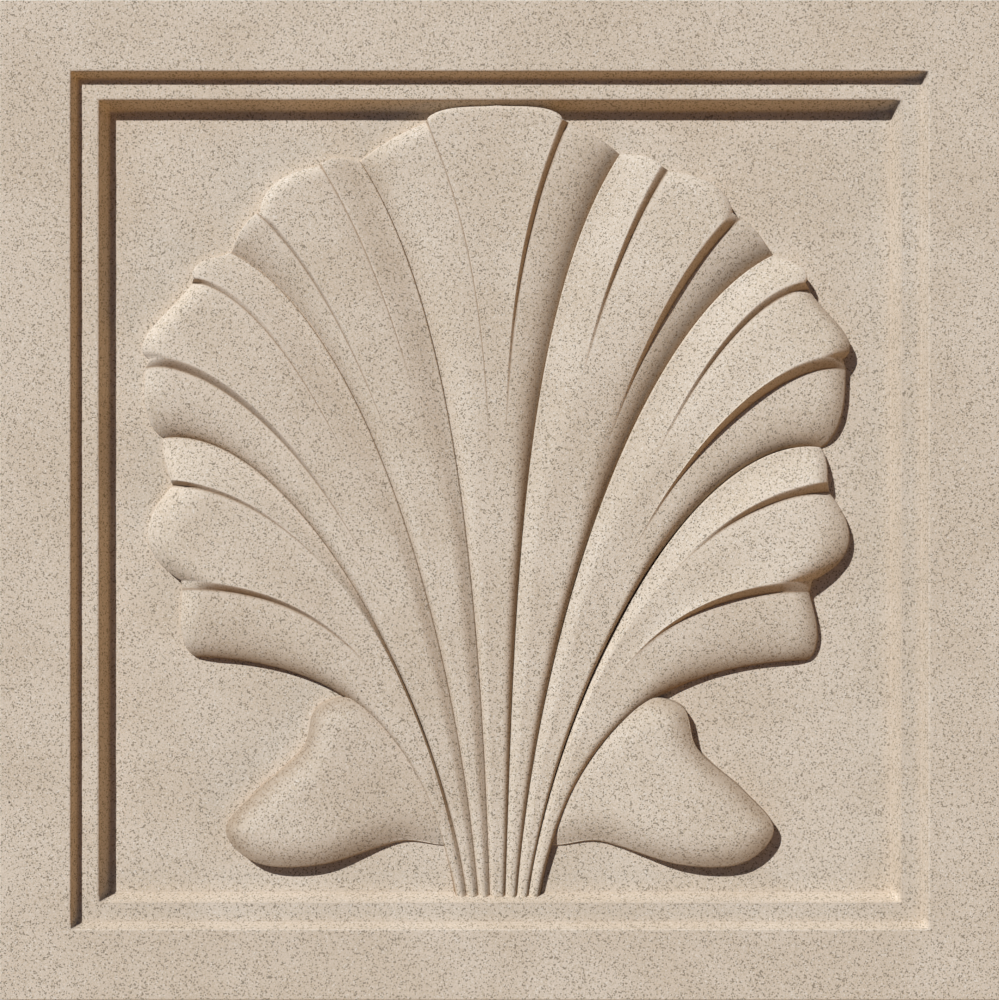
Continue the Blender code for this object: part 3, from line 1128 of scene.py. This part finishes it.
@dataclass
class Block:
    """The block with its stepped square recess, drawn as rings from the back to the floor."""

    size: PanelSize
    fine: Fineness

    def profile(self) -> list[Triple]:
        """The section from the middle of the back to the middle of the floor.

        Returns:
            Half of the side, y and smoothness at each ring, lengths in metres.
        """
        size = self.size
        half = size.width / 2
        corners = [(half, 0.0, 0.0), (half, -size.thickness, 0.0)]
        radii = (size.arris, size.fillet, size.arris, size.fillet)
        for (side, depth), radius in zip(size.squares(), radii):
            corners.append((side, depth - size.thickness, radius))
        floor_half, floor_y, _ = corners[-1]
        chain = [(0.0, 0.0, 0.0), *corners, (0.0, floor_y, 0.0)]
        points = [(0.0, 0.0, 0.0), (half / 2, 0.0, 0.0)]
        for before, corner, after in zip(chain, chain[1:], chain[2:]):
            points += self.rounded(before, corner, after)
        return points + [(floor_half * share, floor_y, 0.0) for share in self.fine.floor_rings]

    def rounded(self, before: Triple, corner: Triple, after: Triple) -> list[Triple]:
        """A corner of the section as a small arc between two support points.

        Args:
            before: The corner before it: half of the side, y and radius, which is 0 where it is sharp.
            corner: The corner itself, in the same way.
            after: The corner after it, in the same way.

        Returns:
            Half of the side, y and smoothness at each of its points.
        """
        middle = np.array(corner[:2])
        radius = corner[2] or self.size.sharp
        worn = self.size.worn if corner[2] else self.size.worn_sharp
        ways = [np.array(end[:2]) - middle for end in (before, after)]
        back, onward = (way / np.linalg.norm(way) * radius for way in ways)
        arc = [
            (*(middle + back * (1 - share) ** 2 + onward * share**2), worn)
            for share in np.linspace(0, 1, self.fine.corner_points)
        ]
        first, last = (middle + way * self.fine.corner_support for way in (back, onward))
        return [(*first, 0.0), *arc, (*last, 0.0)]

    def add_to(self, skin: Skin) -> None:
        """Adds the block.

        Args:
            skin: The skin that it is added to.
        """
        size = self.size
        along = np.linspace(-1, 1, self.fine.block_side, endpoint=False)
        ones = np.ones_like(along)
        x = np.concatenate([along, ones, -along, -ones])
        z = np.concatenate([-ones, along, ones, -along])
        half, y, worn = np.array(self.profile()).T
        grid = np.stack([x[:, None] * half, np.broadcast_to(y, (len(x), len(y))), z[:, None] * half], axis=-1)
        uneven = (half < size.opening / 2 - size.clear) & (half > size.worked_to) & (y < 0)
        grid[..., 1] += size.ripple.at(grid[..., 0] / MM, grid[..., 2] / MM) * MM * uneven
        # painted shade on the rounded edges and inner corners of the recess, which dulls the light on them
        stain = size.recess_edge_shade * (worn > 0) * (half <= size.opening / 2)
        looks = np.broadcast_to(np.stack([worn, stain], axis=-1), (*grid.shape[:2], 2))
        skin.add_grid(grid, looks, closed=True)
        log.info("block: %d rings", len(y))


@dataclass
class Stone:
    """Cast stone: sand and crushed stone in pale cement, tamped damp into a mould and then weathered.

    It gives the eye a dull sandy ground that drifts slowly in tone, full of grains in three colours that are
    as large as the sand, with a pinhole here and there, painted dark for the shade inside it. It is plainer
    where its edges are worn, and brown painted shade lies where the carving is deep or faces away from the
    light.
    """

    finish: StoneFinish

    def __post_init__(self) -> None:
        """Makes an empty material."""
        self.material = bpy.data.materials.new("cast_stone")
        self.material.use_nodes = True
        self.tree = self.material.node_tree
        self.tree.nodes.clear()

    def ground(self, place: Socket, fine: Socket, worn: Socket, grainy: Socket) -> Socket:
        """The sandy ground: a slow drift in tone, paler where it is worn, with a fine speckle.

        Args:
            place: The point of the stone.
            fine: The fine grain there.
            worn: How worn it is.
            grainy: How much of its grain is left.

        Returns:
            Its colour.
        """
        finish, tree = self.finish, self.tree
        inputs = {"Vector": place, "Scale": 1 / (finish.patch * MM), "Detail": 1.0}
        patch = add_node(tree, "ShaderNodeTexNoise", inputs).outputs[0]
        inputs = {0: patch, 1: finish.patch_range[0], 2: finish.patch_range[1]}
        drift = add_node(tree, "ShaderNodeMapRange", inputs, interpolation_type="SMOOTHSTEP").outputs[0]
        inputs = {0: drift, 6: srgb(finish.ground), 7: srgb(finish.patchy)}
        colour = add_node(tree, "ShaderNodeMix", inputs, data_type="RGBA").outputs[2]
        inputs = {0: worn, 1: finish.worn_tone}
        paler = add_node(tree, "ShaderNodeMath", inputs, operation="MULTIPLY").outputs[0]
        inputs = {0: paler, 6: colour, 7: srgb(finish.worn)}
        colour = add_node(tree, "ShaderNodeMix", inputs, data_type="RGBA").outputs[2]
        inputs = dict(enumerate((fine, *finish.tone_range, *finish.tone)))
        tone = add_node(tree, "ShaderNodeMapRange", inputs, interpolation_type="SMOOTHSTEP").outputs[0]
        inputs = {0: grainy, 6: colour, 7: tone}
        return add_node(tree, "ShaderNodeMix", inputs, data_type="RGBA", blend_type="MULTIPLY").outputs[2]

    def picked(self, chance: Socket, end: float, share: float, cover: Socket) -> Socket:
        """A cover on the cells whose random number is near one end of its range, and none on the others.

        Args:
            chance: The random number, from 0 to 1.
            end: The end, 0 or 1.
            share: The share of cells that are picked.
            cover: The cover on these.

        Returns:
            The cover at each point.
        """
        inputs = {0: chance, 1: end, 2: share}
        near = add_node(self.tree, "ShaderNodeMath", inputs, operation="COMPARE").outputs[0]
        return add_node(self.tree, "ShaderNodeMath", {0: near, 1: cover}, operation="MULTIPLY").outputs[0]

    def build(self) -> bpy.types.Material:
        """Builds the material.

        Returns:
            The material.
        """
        finish, tree = self.finish, self.tree
        place = add_node(tree, "ShaderNodeTexCoord").outputs["Object"]
        worn = add_node(tree, "ShaderNodeAttribute", attribute_name="smoothness").outputs["Fac"]
        # the painted shade that the mesh carries, from 0 to 1
        stain = add_node(tree, "ShaderNodeAttribute", attribute_name="stain").outputs["Fac"]
        cells = add_node(tree, "ShaderNodeTexVoronoi", {"Vector": place, "Scale": 1 / (finish.grain * MM)})
        inputs = {"Vector": place, "Scale": 1 / (finish.fine_grain * MM), "Detail": 1.0}
        fine = add_node(tree, "ShaderNodeTexNoise", inputs).outputs[0]
        inputs = {0: worn, 1: -finish.worn_grain, 2: 1.0}
        grainy = add_node(tree, "ShaderNodeMath", inputs, operation="MULTIPLY_ADD").outputs[0]
        colour = self.ground(place, fine, worn, grainy)

        # the sand's grains, each kind on its own cells
        layers = []
        chances = add_node(tree, "ShaderNodeSeparateColor", {0: cells.outputs["Color"]}).outputs
        for grain in finish.grains:
            inputs = {0: grainy, 1: grain.cover}
            cover = add_node(tree, "ShaderNodeMath", inputs, operation="MULTIPLY").outputs[0]
            layers.append((grain.colour, self.picked(chances[grain.channel], grain.end, grain.share, cover)))

        # a pinhole in the middle of a few larger cells, a dark spot painted for the shade inside it
        inputs = {"Vector": place, "Scale": 1 / (finish.pore_spacing * MM)}
        pores = add_node(tree, "ShaderNodeTexVoronoi", inputs).outputs
        inputs = dict(enumerate((pores["Distance"], *finish.pore_radius, finish.pore_cover, 0.0)))
        hole = add_node(tree, "ShaderNodeMapRange", inputs, interpolation_type="SMOOTHSTEP").outputs[0]
        chance = add_node(tree, "ShaderNodeSeparateColor", {0: pores["Color"]}).outputs[0]
        layers.append((finish.pore_shade, self.picked(chance, 0.0, finish.pore_share, hole)))

        # the brown painted shade lies on top of all, darkening flanks, creases and walls where light doesn't
        # reach
        layers.append((finish.stain, stain))
        for layer, cover in layers:
            inputs = {0: cover, 6: colour, 7: srgb(layer)}
            colour = add_node(tree, "ShaderNodeMix", inputs, data_type="RGBA").outputs[2]

        # the same grains as a low relief, highest in the middle of each
        inputs = {0: cells.outputs["Distance"], 1: -finish.grain_rise, 2: fine}
        height = add_node(tree, "ShaderNodeMath", inputs, operation="MULTIPLY_ADD").outputs[0]
        inputs = {"Height": height, "Strength": finish.relief_strength, "Distance": finish.relief * MM}
        relief = add_node(tree, "ShaderNodeBump", inputs).outputs[0]
        inputs = {
            "Base Color": colour,
            "Roughness": finish.roughness,
            "Specular IOR Level": finish.sheen,
            "Normal": relief,
        }
        shader = add_node(tree, "ShaderNodeBsdfPrincipled", inputs).outputs[0]
        add_node(tree, "ShaderNodeOutputMaterial", {"Surface": shader})
        return self.material


@dataclass
class Studio:
    """The camera at the photograph's viewpoint, the lights and the floor, set round the panel."""

    size: StudioSize
    panel: PanelSize

    def add_camera(self) -> None:
        """Adds the camera, square to the panel and a little right of and below its centre."""
        size = self.size
        data = bpy.data.cameras.new("camera")
        camera = bpy.data.objects.new("camera", data)
        bpy.context.scene.collection.objects.link(camera)
        camera.location = (size.camera_x, -self.panel.thickness - size.distance, size.camera_z)
        camera.rotation_euler = (math.radians(90), 0, 0)
        width = self.panel.width * size.image[0] / size.image[1]
        data.sensor_width = size.sensor
        data.sensor_fit = "HORIZONTAL"
        data.lens = size.sensor * size.distance / width
        data.shift_x = -size.camera_x / width
        data.shift_y = -size.camera_z / width
        bpy.context.scene.camera = camera

    def add_sun(self, name: str, towards: Triple, strength: float, angle: float, colour: Triple) -> None:
        """Adds a distant light.

        Args:
            name: Its name.
            towards: The direction that it stands in.
            strength: Its strength.
            angle: How wide it looks, which softens its shadows.
            colour: Its colour.
        """
        data = bpy.data.lights.new(name, "SUN")
        data.energy = strength
        data.angle = angle
        data.color = colour
        light = bpy.data.objects.new(name, data)
        light.rotation_euler = Vector(towards).to_track_quat("Z", "Y").to_euler()
        bpy.context.scene.collection.objects.link(light)

    def add_fill(self) -> None:
        """Adds a fill that is weaker in front than behind, and the backdrop that the camera sees."""
        size = self.size
        world = bpy.data.worlds.new("fill")
        world.use_nodes = True
        tree = world.node_tree
        direction = add_node(tree, "ShaderNodeTexCoord").outputs["Generated"]
        axes = add_node(tree, "ShaderNodeSeparateXYZ", {0: direction}).outputs
        inputs = {0: axes["Y"], 1: size.fill_turn[0], 2: size.fill_turn[1]}
        behind = add_node(tree, "ShaderNodeMapRange", inputs).outputs[0]
        inputs = {0: behind, 6: (*size.front_fill, 1.0), 7: (*size.back_fill, 1.0)}
        fill = add_node(tree, "ShaderNodeMix", inputs, data_type="RGBA").outputs[2]
        seen = add_node(tree, "ShaderNodeLightPath").outputs["Is Camera Ray"]
        inputs = {0: seen, 6: fill, 7: srgb(size.backdrop)}
        shown = add_node(tree, "ShaderNodeMix", inputs, data_type="RGBA").outputs[2]
        tree.links.new(shown, tree.nodes["Background"].inputs["Color"])
        bpy.context.scene.world = world

    def add_floor(self) -> None:
        """Adds the pale floor that the panel stands on, which no light meets before the panel."""
        size = self.size
        material = bpy.data.materials.new("pale_floor")
        material.use_nodes = True
        shader = material.node_tree.nodes["Principled BSDF"]
        shader.inputs["Base Color"].default_value = srgb(size.floor_colour)
        shader.inputs["Roughness"].default_value = size.floor_roughness
        mesh = bpy.data.meshes.new("floor")
        half, z = size.floor_size / 2, -self.panel.width / 2 - size.floor_gap
        corners = [(-half, -half, z), (half, -half, z), (half, half, z), (-half, half, z)]
        mesh.from_pydata(corners, [], [(0, 1, 2, 3)])
        mesh.materials.append(material)
        floor = bpy.data.objects.new("floor", mesh)
        floor.visible_diffuse = False
        floor.visible_glossy = False
        floor.visible_shadow = False
        bpy.context.scene.collection.objects.link(floor)

    def build(self) -> None:
        """Sets up the camera, the lights, the fill, the floor and the view's plain colours."""
        size = self.size
        self.add_camera()
        self.add_sun("key", size.to_key, size.key_strength, size.key_angle, size.key_colour)
        self.add_sun("bounce", size.to_bounce, size.bounce_strength, size.bounce_angle, size.bounce_colour)
        self.add_sun("back_light", size.to_back_light, size.back_strength, size.back_angle, size.back_colour)
        self.add_fill()
        self.add_floor()
        bpy.context.scene.view_settings.view_transform = "Standard"


def main() -> None:
    """Builds the dressed panel and its studio."""
    logging.basicConfig(level=logging.INFO)
    for obj in list(bpy.data.objects):
        bpy.data.objects.remove(obj, do_unlink=True)
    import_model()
    panel, fine = PanelSize(), Fineness()
    Studio(StudioSize(), panel).build()
    skin = Skin()
    Block(panel, fine).add_to(skin)
    shell = Shell(ShellSize(), WearAndPaintedShade(), panel, fine)
    shell.add_to(skin)
    for side in Side:
        Leaf(LeafSize(), side, shell, fine).add_to(skin)
    stone = skin.make_object("carved_stone", Stone(StoneFinish()).build())
    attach(stone, "root")
    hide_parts(NODE)


if __name__ == "__main__":
    main()
